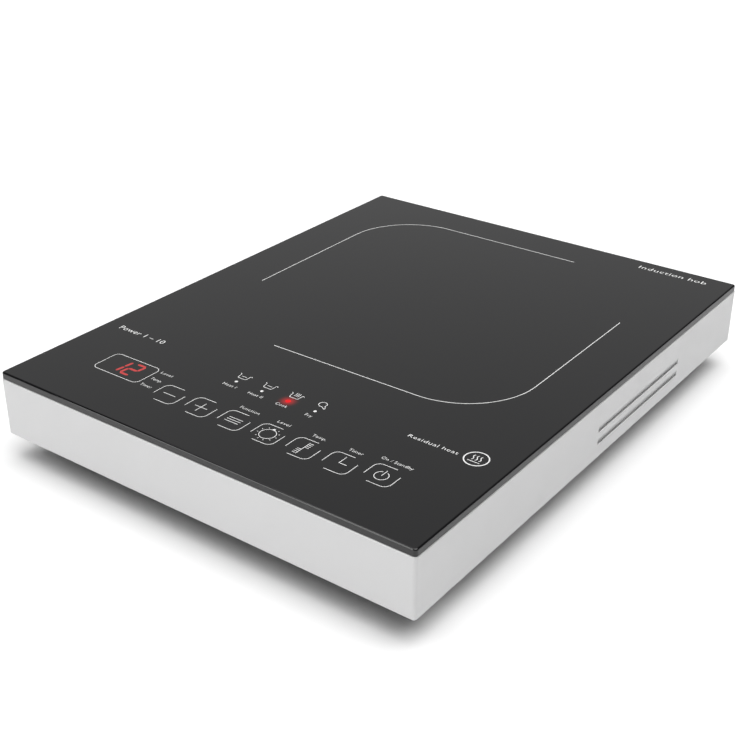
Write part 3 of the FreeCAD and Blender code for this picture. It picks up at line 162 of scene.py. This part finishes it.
def surface(name, colour, rough=(0.4, 0.5), metal=0.0, shade=0.06, patch=40, grain_scale=4000):
    """A general material: colour and gloss drift over patches, and a fine grain roughens it."""
    material, tree, shader = new_material(name)
    drift = grain(tree, patch, 4)
    dark = [channel * (1 - shade) for channel in colour]
    light = [min(1, channel * (1 + shade)) for channel in colour]
    tree.links.new(blend(tree, spread(tree, drift, 0, 1), dark, light), shader.inputs["Base Color"])
    tree.links.new(spread(tree, drift, *rough), shader.inputs["Roughness"])
    shader.inputs["Metallic"].default_value = metal
    shader.inputs["IOR"].default_value = 1.45
    bump(tree, shader, grain(tree, grain_scale, 3, 0.6), 0.02 * MM)
    return material


# ---- materials ----

# the general ones, by material slot
FINISHES = {
    "black_plastic": dict(colour=(0.022, 0.022, 0.023), rough=(0.5, 0.62), grain_scale=3000),
    "black_rubber": dict(colour=(0.018, 0.018, 0.018), rough=(0.68, 0.8), grain_scale=2200),
    "screw_steel": dict(colour=(0.55, 0.55, 0.56), rough=(0.28, 0.38), metal=1.0),
    "spring_steel": dict(colour=(0.5, 0.5, 0.52), rough=(0.25, 0.35), metal=1.0),
    "white_plastic": dict(colour=(0.74, 0.73, 0.69), rough=(0.45, 0.55)),
    "copper": dict(colour=(0.62, 0.24, 0.09), rough=(0.22, 0.32), metal=1.0, shade=0.1, patch=250),
    "ferrite": dict(colour=(0.05, 0.05, 0.055), rough=(0.55, 0.7)),
    "mica": dict(colour=(0.55, 0.48, 0.34), rough=(0.3, 0.5), shade=0.18, patch=160),
    "silicone": dict(colour=(0.7, 0.7, 0.68), rough=(0.6, 0.7)),
    "sensor_bead": dict(colour=(0.62, 0.5, 0.3), rough=(0.2, 0.3)),
    "lead_sleeve": dict(colour=(0.74, 0.71, 0.63), rough=(0.75, 0.9), shade=0.12, patch=900),
    "lead_red": dict(colour=(0.45, 0.02, 0.015), rough=(0.4, 0.5)),
    "brass_post": dict(colour=(0.7, 0.48, 0.2), rough=(0.25, 0.35), metal=1.0),
    "board_green": dict(colour=(0.02, 0.13, 0.05), rough=(0.3, 0.4), shade=0.2, patch=400),
    "bare_aluminium": dict(colour=(0.72, 0.73, 0.74), rough=(0.3, 0.42), metal=1.0, shade=0.05, patch=90),
    "chip_black": dict(colour=(0.025, 0.025, 0.028), rough=(0.5, 0.62)),
    "capacitor_box": dict(colour=(0.62, 0.36, 0.04), rough=(0.4, 0.5)),
    "can_dark": dict(colour=(0.02, 0.025, 0.07), rough=(0.3, 0.4)),
    "varistor_blue": dict(colour=(0.03, 0.1, 0.36), rough=(0.35, 0.45)),
    "lamp_red": dict(colour=(0.6, 0.03, 0.02), rough=(0.15, 0.25)),
}


def inside(tree, position, full, none):
    """1 where a coordinate lies nearer the middle than full, fading to 0 at none."""
    return remap(tree, maths(tree, "ABSOLUTE", position), (full, none), (1, 0))


def louvre_depth(tree, start, full):
    """How deep a point lies behind the faces of the louvred walls: 0 at start and 1 at full.

    The ends and the top of each wall, which have no louvres, count as 0, so their rounded edges keep
    the plain paint.
    """
    wall_end, wall_top, fade = 40 * MM, 8 * MM, 1 * MM
    half = {"X": HIGH.x, "Y": HIGH.y}
    place = node(tree, "ShaderNodeTexCoord")
    parts = node(tree, "ShaderNodeSeparateXYZ", {"Vector": place.outputs["Object"]}).outputs
    walls = []
    for across, along in (("X", "Y"), ("Y", "X")):
        deep = inside(tree, parts[across], half[across] - full, half[across] - start)
        end = half[along] - wall_end
        walls.append(maths(tree, "MULTIPLY", deep, inside(tree, parts[along], end - fade, end)))
    top = HIGH.z - wall_top
    return maths(tree, "MULTIPLY", maths(tree, "MAXIMUM", *walls),
                 inside(tree, parts["Z"], top - fade, top))


def silver_paint():
    """Fine flakes and faint clouds, with painted shade in each louvre's groove and painted light in the gap
    behind its lip.
    """
    dark_flake, light_flake, cloud = (0.525, 0.525, 0.527), (0.6, 0.6, 0.602), (0.61, 0.61, 0.612)
    painted_groove_shade, gap = (0.4, 0.4, 0.402), (0.95, 0.95, 0.95)
    material, tree, shader = new_material("silver_paint")
    colour = blend(tree, spread(tree, grain(tree, 9000, 1), 0, 1), dark_flake, light_flake)
    colour = blend(tree, spread(tree, grain(tree, 14, 3), 0, 0.25), colour, cloud)
    # painted shade: each louvre's groove is darkened by its depth behind the wall's face
    colour = blend(tree, louvre_depth(tree, 0.01 * MM, 0.25 * MM), colour, painted_groove_shade)
    # painted light: the shaded gap deeper behind each louvre's lip is lightened
    colour = blend(tree, louvre_depth(tree, 0.95 * MM, 1.15 * MM), colour, gap)
    tree.links.new(colour, shader.inputs["Base Color"])
    tree.links.new(spread(tree, grain(tree, 60, 3), 0.36, 0.44), shader.inputs["Roughness"])
    shader.inputs["Metallic"].default_value = 0.3
    bump(tree, shader, grain(tree, 2600, 2, 0.55), 0.01 * MM, 0.6)
    return material


def painted_lamp_glow(tree, position):
    """How strongly the glass is painted to glow red round the lit lamp, for the light that seeps up through
    it.
    """
    reach, falloff, level = 10 * MM, 3.0, 0.4
    away = node(tree, "ShaderNodeVectorMath", {0: position, 1: LIT_LAMP}, operation="DISTANCE")
    near = remap(tree, away.outputs["Value"], (0, reach), (1, 0), interpolation_type="SMOOTHERSTEP")
    return maths(tree, "MULTIPLY", maths(tree, "POWER", near, falloff), level)


def glass_ceramic():
    """Black glass, polished on top and ground round its edge."""
    edge_colour, top_colour, edge_rough = (0.009, 0.009, 0.0095), (0.004, 0.004, 0.0045), 0.32
    material, tree, shader = new_material("glass_ceramic")
    place = node(tree, "ShaderNodeTexCoord")
    facing = node(tree, "ShaderNodeSeparateXYZ", {"Vector": place.outputs["Normal"]})
    upward = remap(tree, facing.outputs["Z"], (0.05, 0.3), (0, 1))
    tree.links.new(blend(tree, upward, edge_colour, top_colour), shader.inputs["Base Color"])
    polish = spread(tree, grain(tree, 22, 5, 0.6), 0.012, 0.035)
    rough = node(tree, "ShaderNodeMix", {"Factor": upward, "A": edge_rough, "B": polish})
    tree.links.new(rough.outputs[0], shader.inputs["Roughness"])
    shader.inputs["IOR"].default_value = 1.5
    # a painted glow: the glass itself emits red round the lit lamp
    shader.inputs["Emission Color"].default_value = (1.0, 0.01, 0.008, 1)
    tree.links.new(painted_lamp_glow(tree, place.outputs["Object"]), shader.inputs["Emission Strength"])
    bump(tree, shader, grain(tree, 9, 2), 0.02 * MM, 0.35)
    return material


def emitter(name, colour, strength):
    """A dark red lens that glows, a little unevenly."""
    material, tree, shader = new_material(name)
    flicker = spread(tree, grain(tree, 700, 2), 0.85, 1.1)
    tree.links.new(maths(tree, "MULTIPLY", flicker, strength), shader.inputs["Emission Strength"])
    shader.inputs["Emission Color"].default_value = (*colour, 1)
    shader.inputs["Base Color"].default_value = (0.02, 0.001, 0.001, 1)
    shader.inputs["Roughness"].default_value = 0.6
    shader.inputs["Specular IOR Level"].default_value = 0.0
    return material


def dress_nodes():
    """Gives each CAD node the material of its slot."""
    slot_of = {entry["node"]: entry["material_slot"] for entry in frame["record"]["subparts"]}
    finish = {name: surface(name, **look) for name, look in FINISHES.items()}
    finish["glass_ceramic"] = glass_ceramic()
    finish["silver_paint"] = silver_paint()
    for name, piece in frame["nodes"].items():
        piece.data.materials.clear()
        piece.data.materials.append(finish[slot_of[name]])


# ---- printed marks: thin closed solids on the glass ----

PRINT_THICK = 0.03 * MM
PRINT_SINK = 0.01 * MM
# in millimetres, like every size of a mark; only a mark's place is in metres
STROKE = 0.37


def arc(x, y, radius, start, end, steps):
    """Points along an arc, in degrees."""
    points = []
    for i in range(steps + 1):
        angle = math.radians(start + (end - start) * i / steps)
        points.append((x + radius * math.cos(angle), y + radius * math.sin(angle)))
    return points


def circle(x, y, radius, steps):
    return arc(x, y, radius, 0, 360, steps)[:-1]


def seal(mesh, weld=0.0):
    """Joins points nearer than weld, turns the faces outward and splits those of many corners."""
    work = bmesh.new()
    work.from_mesh(mesh)
    if weld:
        bmesh.ops.remove_doubles(work, verts=work.verts, dist=weld)
    bmesh.ops.recalc_face_normals(work, faces=work.faces)
    bmesh.ops.triangulate(work, faces=[face for face in work.faces if len(face.verts) > 4])
    work.to_mesh(mesh)
    work.free()


def keep(name, data, material):
    piece = bpy.data.objects.new(name, data)
    bpy.context.scene.collection.objects.link(piece)
    data.materials.clear()
    data.materials.append(material)
    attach(piece, ROOT)
    return piece


class Print:
    """Collects flat marks, in millimetres about a place in metres, and makes them into one piece."""

    def __init__(self, name, x=0.0, y=0.0):
        self.name, self.x, self.y = name, x, y
        self.verts, self.faces = [], []

    def about(self, x, y):
        """Moves the place that the next marks are drawn about."""
        self.x, self.y = x, y

    def add(self, ring_points):
        """Adds a ring of points at both levels and returns the first one's index and their number."""
        first = len(self.verts)
        for z in (GLASS_TOP - PRINT_SINK, GLASS_TOP + PRINT_THICK):
            self.verts += [(self.x + x * MM, self.y + y * MM, z) for x, y in ring_points]
        return first, len(ring_points)

    def shape(self, points):
        """A filled outline, anticlockwise."""
        first, count = self.add(points)
        self.faces.append(tuple(range(first + count, first + 2 * count)))
        self.faces.append(tuple(reversed(range(first, first + count))))
        for i in range(count):
            j = (i + 1) % count
            self.faces.append((first + i, first + j, first + count + j, first + count + i))

    def line(self, points, width=STROKE, closed=False):
        """A stroke of even width, mitred at its corners."""
        sharpest = 0.4
        left, right, count = [], [], len(points)
        for i, point in enumerate(points):
            here = Vector(point)
            before = Vector(points[i - 1]) if i or closed else here
            after = Vector(points[(i + 1) % count]) if i < count - 1 or closed else here
            inward = (here - before).normalized() if before != here else (after - here).normalized()
            outward = (after - here).normalized() if after != here else inward
            across = (inward + outward).normalized()
            side = Vector((-across.y, across.x)) * (width / 2 / max(sharpest, across.dot(outward)))
            left.append(tuple(here + side))
            right.append(tuple(here - side))
        if closed:
            self.band(left, right)
        else:
            self.shape(right + left[::-1])

    def band(self, one_side, other_side):
        """The closed strip between two rings of points."""
        first, count = self.add(one_side)
        second, _ = self.add(other_side)
        for i in range(count):
            j = (i + 1) % count
            self.faces.append((first + count + j, first + count + i, second + count + i, second + count + j))
            self.faces.append((first + i, first + j, second + j, second + i))
            self.faces.append((first + j, first + i, first + count + i, first + count + j))
            self.faces.append((second + i, second + j, second + count + j, second + count + i))

    def dot(self, radius):
        self.shape(circle(0, 0, radius, 32))

    def done(self, material, slot="white_plastic"):
        mesh = bpy.data.meshes.new(self.name)
        mesh.from_pydata(self.verts, [], self.faces)
        seal(mesh)
        return keep(self.name, mesh, material)


def words(name, text, x, y, wide, tall, material):
    """A short plain word, centred at a place in metres; its width and letter size are in millimetres."""
    curve = bpy.data.curves.new(name, "FONT")
    curve.body = text
    curve.size = tall * MM
    curve.align_y = "CENTER"
    curve.offset = -0.03 * MM
    curve.extrude = (PRINT_THICK + PRINT_SINK) / 2
    curve.space_character = 1.05
    curve.resolution_u = 3
    draft = bpy.data.objects.new(name + "_draft", curve)
    bpy.context.scene.collection.objects.link(draft)
    mesh = bpy.data.meshes.new_from_object(draft.evaluated_get(bpy.context.evaluated_depsgraph_get()))
    bpy.data.objects.remove(draft)
    left = min(vertex.co.x for vertex in mesh.vertices)
    stretch = wide * MM / (max(vertex.co.x for vertex in mesh.vertices) - left)
    start = x - wide * MM / 2
    middle = GLASS_TOP + (PRINT_THICK - PRINT_SINK) / 2
    for vertex in mesh.vertices:
        vertex.co = (start + (vertex.co.x - left) * stretch, y + vertex.co.y, middle + vertex.co.z)
    seal(mesh, weld=1e-7)
    return keep(name, mesh, material)


def zone_marks(ink):
    """Two brackets that frame the cooking zone, each the other turned half a turn."""
    half, bend, width = 110.0, 48.0, 0.48
    front_end, side_end = -41.0, 41.5
    marks = Print("zone_marks", ZONE.x, ZONE.y)
    corner = half - bend
    run = [(front_end, -half), *arc(corner, -corner, bend, -90, 0, 24), (half, side_end)]
    marks.line(run, width)
    marks.line([(-x, -y) for x, y in run], width)
    marks.done(ink)


# ---- the seven keys ----


def key_outline(marks):
    """The two brackets round a key: top left and bottom right."""
    half_x, half_y, bend = 8.8, 8.55, 4.0
    top_end, side_end = 3.6, -3.5
    first = [(top_end, half_y), *arc(-half_x + bend, half_y - bend, bend, 90, 180, 10), (-half_x, side_end)]
    for sign in (1, -1):
        marks.line([(sign * x, sign * y) for x, y in first])


def minus_sign(marks):
    arm = 4.5
    marks.line([(-arm, 0), (arm, 0)])


def plus_sign(marks):
    """One outline, because two strokes would overlap where they cross."""
    arm, half = 4.5, STROKE / 2
    tip, cross = [(half, half), (half, arm), (-half, arm)], []
    for _ in range(4):
        cross += tip
        tip = [(-y, x) for x, y in tip]
    marks.shape(cross)


def function_sign(marks):
    """Three bars."""
    half, pitch = 4.8, 2
    for step in (-1, 0, 1):
        marks.line([(-half, pitch * step), (half, pitch * step)])


def level_sign(marks):
    """A dial with ticks all round it and a pointer at the top."""
    dial, tick_inner, tick_outer, tick_width = 4.7, 5.8, 6.6, 0.35
    marks.line(circle(0, 0, dial, 48), closed=True)
    for angle in range(90, 421, 33):
        ends = [arc(0, 0, radius, angle, angle, 1)[0] for radius in (tick_inner, tick_outer)]
        marks.line(ends, tick_width)
    marks.shape([(1.1, 5.0), (0, tick_outer), (-1.1, 5.0)])


def temperature_sign(marks):
    """A scale with ticks down its right side and up its left."""
    half, first, pitch, tick_start, tick_end, tick_width = 6, 5.6, 1.45, 0.35, 2.7, 0.36
    marks.line([(0, half), (0, -half)])
    for step in range(4):
        y = first - pitch * step
        for side in (1, -1):
            marks.line([(side * tick_start, side * y), (side * tick_end, side * y)], tick_width)


def timer_sign(marks):
    """A clock's two hands."""
    left, top, right = -0.4, 6.4, 4.4
    marks.line([(left, top), (left, 0), (right, 0)])


def power_sign(marks):
    radius, low, top = 3.8, -0.6, 4.8
    marks.line(arc(0, low, radius, 110, 430, 48))
    marks.line([(0, top), (0, low)])


def key_marks(ink):
    """Each print stands a little further left of its spring than the one before it."""
    drift = 0.13 * MM
    signs = (minus_sign, plus_sign, function_sign, level_sign, temperature_sign, timer_sign, power_sign)
    outlines, icons = Print("key_outlines"), Print("key_icons")
    for i, sign in enumerate(signs):
        for marks, draw in ((outlines, key_outline), (icons, sign)):
            marks.about(KEY_X[i] - drift * i, POWER_Y if sign is power_sign else KEY_Y)
            draw(marks)
    outlines.done(ink)
    icons.done(ink)


# ---- lamps and display ----


def pot(marks):
    """An open pot with its two handles, above a lamp."""
    bend = 0.9
    marks.line([(-4.6, 9.4), (-3.6, 8.7), (-3.1, 5.4), *arc(-2.1, 5.3, bend, 180, 270, 4),
                *arc(2.1, 5.3, bend, 270, 360, 4), (3.1, 8.7), (3.6, 9.1), (4.6, 8.5)])


def mode_marks(ink):
    """A pot, a pot, a boiling pot and a pan over the four lamps."""
    marks = Print("mode_icons")
    for index, x in enumerate(LAMP_X[:3]):
        marks.about(x, LAMP_Y)
        pot(marks)
        if index < 2:
            marks.line([(-1.7, 6.9), (1.7, 6.9)])
        else:
            for steam in (-1.2, 0, 1.2):
                marks.line([(steam, 6.6), (steam + 0.3, 8.2), (steam - 0.1, 10.2)])
    marks.about(LAMP_X[3] - 1.2 * MM, LAMP_Y)
    marks.line([*arc(0, 8.4, 2.4, -22, 292, 36), (3.4, 4.5), (3.9, 5.0)], closed=True)
    marks.done(ink)


def lamp_marks(ink):
    """A white window over each lamp that is off."""
    windows = Print("lamp_windows")
    for x in (LAMP_X[0], LAMP_X[1], LAMP_X[3]):
        windows.about(x, LAMP_Y)
        windows.dot(0.95)
    windows.done(ink)


def display_frame(ink):
    half_x, half_y, bend = 17.7, 10.2, 3.6
    outline = Print("display_outline", DISPLAY.x, DISPLAY.y)
    points = []
    for sx, sy, start in ((1, 1, 0), (-1, 1, 90), (-1, -1, 180), (1, -1, 270)):
        points += arc(sx * (half_x - bend), sy * (half_y - bend), bend, start, start + 90, 8)
    outline.line(points, closed=True)
    outline.done(ink)


def display_digits(red):
    """The digits 1 and 2, made of slanted bars with pointed ends."""
    wide, tall, lean, thick, gap, lift = 3.35, 6.4, 0.12, 0.85, 0.1, 0.4
    segments = {"a": ((-1, 1), (1, 1)), "b": ((1, 1), (1, 0)), "c": ((1, 0), (1, -1)),
                "d": ((-1, -1), (1, -1)), "e": ((-1, -1), (-1, 0)), "g": ((-1, 0), (1, 0))}
    digits = Print("display_digits", DISPLAY.x, DISPLAY.y)
    for x, lit in ((-5.5, "bc"), (4.7, "abged")):
        for key in lit:
            start, end = (Vector((sx * wide, sy * tall)) for sx, sy in segments[key])
            along = (end - start).normalized()
            side, point = Vector((-along.y, along.x)) * thick, along * thick
            first, last = start + along * gap, end - along * gap
            bar = [first, first + point - side, last - point - side, last, last - point + side,
                   first + point + side]
            digits.shape([(x + corner.x + corner.y * lean, corner.y + lift) for corner in bar])
    digits.done(red, "lamp_red")


def lit_dot(red):
    lamp = Print("lamp_lit", LIT_LAMP.x, LIT_LAMP.y)
    lamp.dot(1.6)
    lamp.done(red, "lamp_red")


# ---- heat sign and words ----


def heat_mark(ink):
    """A plain heat sign: three rising waves over a line, in a ring."""
    ring, ring_width, width = 6.6, 0.7, 0.45
    low, rise, swing, turn = -1.6, 0.95, 0.6, 72
    marks = Print("heat_sign", HIGH.x - 20.5 * MM, KEY_Y + 44.3 * MM)
    marks.line(circle(0, 0, ring, 56), ring_width, closed=True)
    for x in (-2.2, 0, 2.2):
        wave = [(x + swing * math.sin(math.radians(turn * i)), low + rise * i) for i in range(6)]
        marks.line(wave, width)
    marks.line([(-3.6, -3.1), (3.6, -3.1)], width)
    marks.done(ink)


def labels(ink):
    """Plain words by the keys, the display and the lamps, and along the plate's edges."""
    small = 3.4
    above = KEY_Y + 13.3 * MM
    for name, text, x, wide in (("function", "Function", KEY_X[2], 13.5), ("level", "Level", KEY_X[3], 8.5),
                                ("temp", "Temp.", KEY_X[4], 9), ("timer", "Timer", KEY_X[5], 9)):
        words(f"label_{name}", text, x - 0.3 * MM, above, wide, small, ink)
    words("label_standby", "On / Standby", KEY_X[6] - 1 * MM, POWER_Y + 13.5 * MM, 19.5, small, ink)
    for index, text in enumerate(("Level", "Temp.", "Timer")):
        y = DISPLAY.y + (7.8 - 8.2 * index) * MM
        words(f"label_unit{index}", text, DISPLAY.x + 24.5 * MM, y, 8.5, small, ink)
    for x, text, wide in zip(LAMP_X, ("Heat I", "Heat II", "Cook", "Fry"), (9.5, 10, 8, 4.5)):
        words("label_mode_" + text.replace(" ", "_"), text, x, LAMP_Y - 5.6 * MM, wide, small, ink)
    words("label_range", "Power 1 – 10", LOW.x + 30.5 * MM, KEY_Y + 44 * MM, 37, 6.0, ink)
    words("label_heat", "Residual heat", HIGH.x - 46 * MM, KEY_Y + 43 * MM, 31, 4.0, ink)
    words("label_kind", "Induction hob", HIGH.x - 40.5 * MM, HIGH.y - 11 * MM, 48, 6.3, ink)


# ---- studio ----


def soft_sun(name, heading, angle, strength):
    """A distant soft light that travels along heading."""
    data = bpy.data.lights.new(name, "SUN")
    data.angle = math.radians(angle)
    data.energy = strength
    light = bpy.data.objects.new(name, data)
    light.location = (0, 0, 2)
    light.rotation_euler = Vector(heading).to_track_quat("-Z", "Y").to_euler()
    bpy.context.scene.collection.objects.link(light)


def soft_box(name, place, size, glow):
    """A square light that faces the object; glow is how bright its face looks."""
    data = bpy.data.lights.new(name, "AREA")
    data.shape = "SQUARE"
    data.size = size
    data.energy = math.pi * size ** 2 * glow
    light = bpy.data.objects.new(name, data)
    light.location = place
    light.rotation_euler = (-Vector(place)).to_track_quat("-Z", "Y").to_euler()
    bpy.context.scene.collection.objects.link(light)


def lighting():
    """Light from above, the right and the front, a card behind and a small lamp for the edges."""
    world = bpy.data.worlds.new("studio")
    world.use_nodes = True
    background = world.node_tree.nodes["Background"]
    background.inputs["Color"].default_value = (1, 1, 1, 1)
    background.inputs["Strength"].default_value = 0.08
    bpy.context.scene.world = world
    soft_sun("key", heading=(0, 0, -1), angle=80, strength=1.5)
    soft_sun("right_key", heading=(-0.32, 0, -1), angle=60, strength=1.95)
    soft_sun("front_fill", heading=(0.5, 0.87, -0.12), angle=30, strength=1.25)
    soft_box("back_card", place=(-0.83, 1.18, 0.75), size=1.6, glow=0.38)
    soft_box("edge_light", place=(-0.75, -1.15, 1.25), size=0.32, glow=9.0)


def paper_floor():
    """A wide white floor, faintly uneven."""
    reach, darker, lighter = 12.0, (0.93, 0.93, 0.93), (0.95, 0.95, 0.95)
    mesh = bpy.data.meshes.new("floor")
    mesh.from_pydata([(-reach, -reach, 0), (reach, -reach, 0), (reach, reach, 0), (-reach, reach, 0)],
                     [], [(0, 1, 2, 3)])
    floor = bpy.data.objects.new("floor", mesh)
    bpy.context.scene.collection.objects.link(floor)
    paper, tree, shader = new_material("floor_paper")
    tree.links.new(blend(tree, grain(tree, 3, 2), darker, lighter), shader.inputs["Base Color"])
    shader.inputs["Roughness"].default_value = 0.95
    shader.inputs["Specular IOR Level"].default_value = 0.1
    mesh.materials.append(paper)


def camera():
    """Stands in front of the right corner and looks down over the top."""
    stand, down, turn = Vector((404.5, -569.5, 392.8)) * MM, 27.62, 36.71
    data = bpy.data.cameras.new("camera")
    data.sensor_width = 36.0
    data.lens = 61.5
    view = bpy.data.objects.new("camera", data)
    middle = Vector(((LOW.x + HIGH.x) / 2, (LOW.y + HIGH.y) / 2, LOW.z))
    view.location = middle + stand
    view.rotation_euler = (math.radians(90 - down), 0, math.radians(turn))
    bpy.context.scene.collection.objects.link(view)
    bpy.context.scene.camera = view


# ---- the scene ----

print_ink = surface("print_ink", (0.8, 0.8, 0.795), shade=0.05, patch=300)
lit_red = emitter("lit_red", (1.0, 0.15, 0.15), 0.62)
lit_lamp = emitter("lit_lamp", (1.0, 0.03, 0.035), 0.95)

dress_nodes()
zone_marks(print_ink)
key_marks(print_ink)
mode_marks(print_ink)
lamp_marks(print_ink)
display_frame(print_ink)
display_digits(lit_red)
heat_mark(print_ink)
labels(print_ink)
lit_dot(lit_lamp)
paper_floor()
lighting()
camera()
bpy.context.scene.view_settings.view_transform = "Standard"
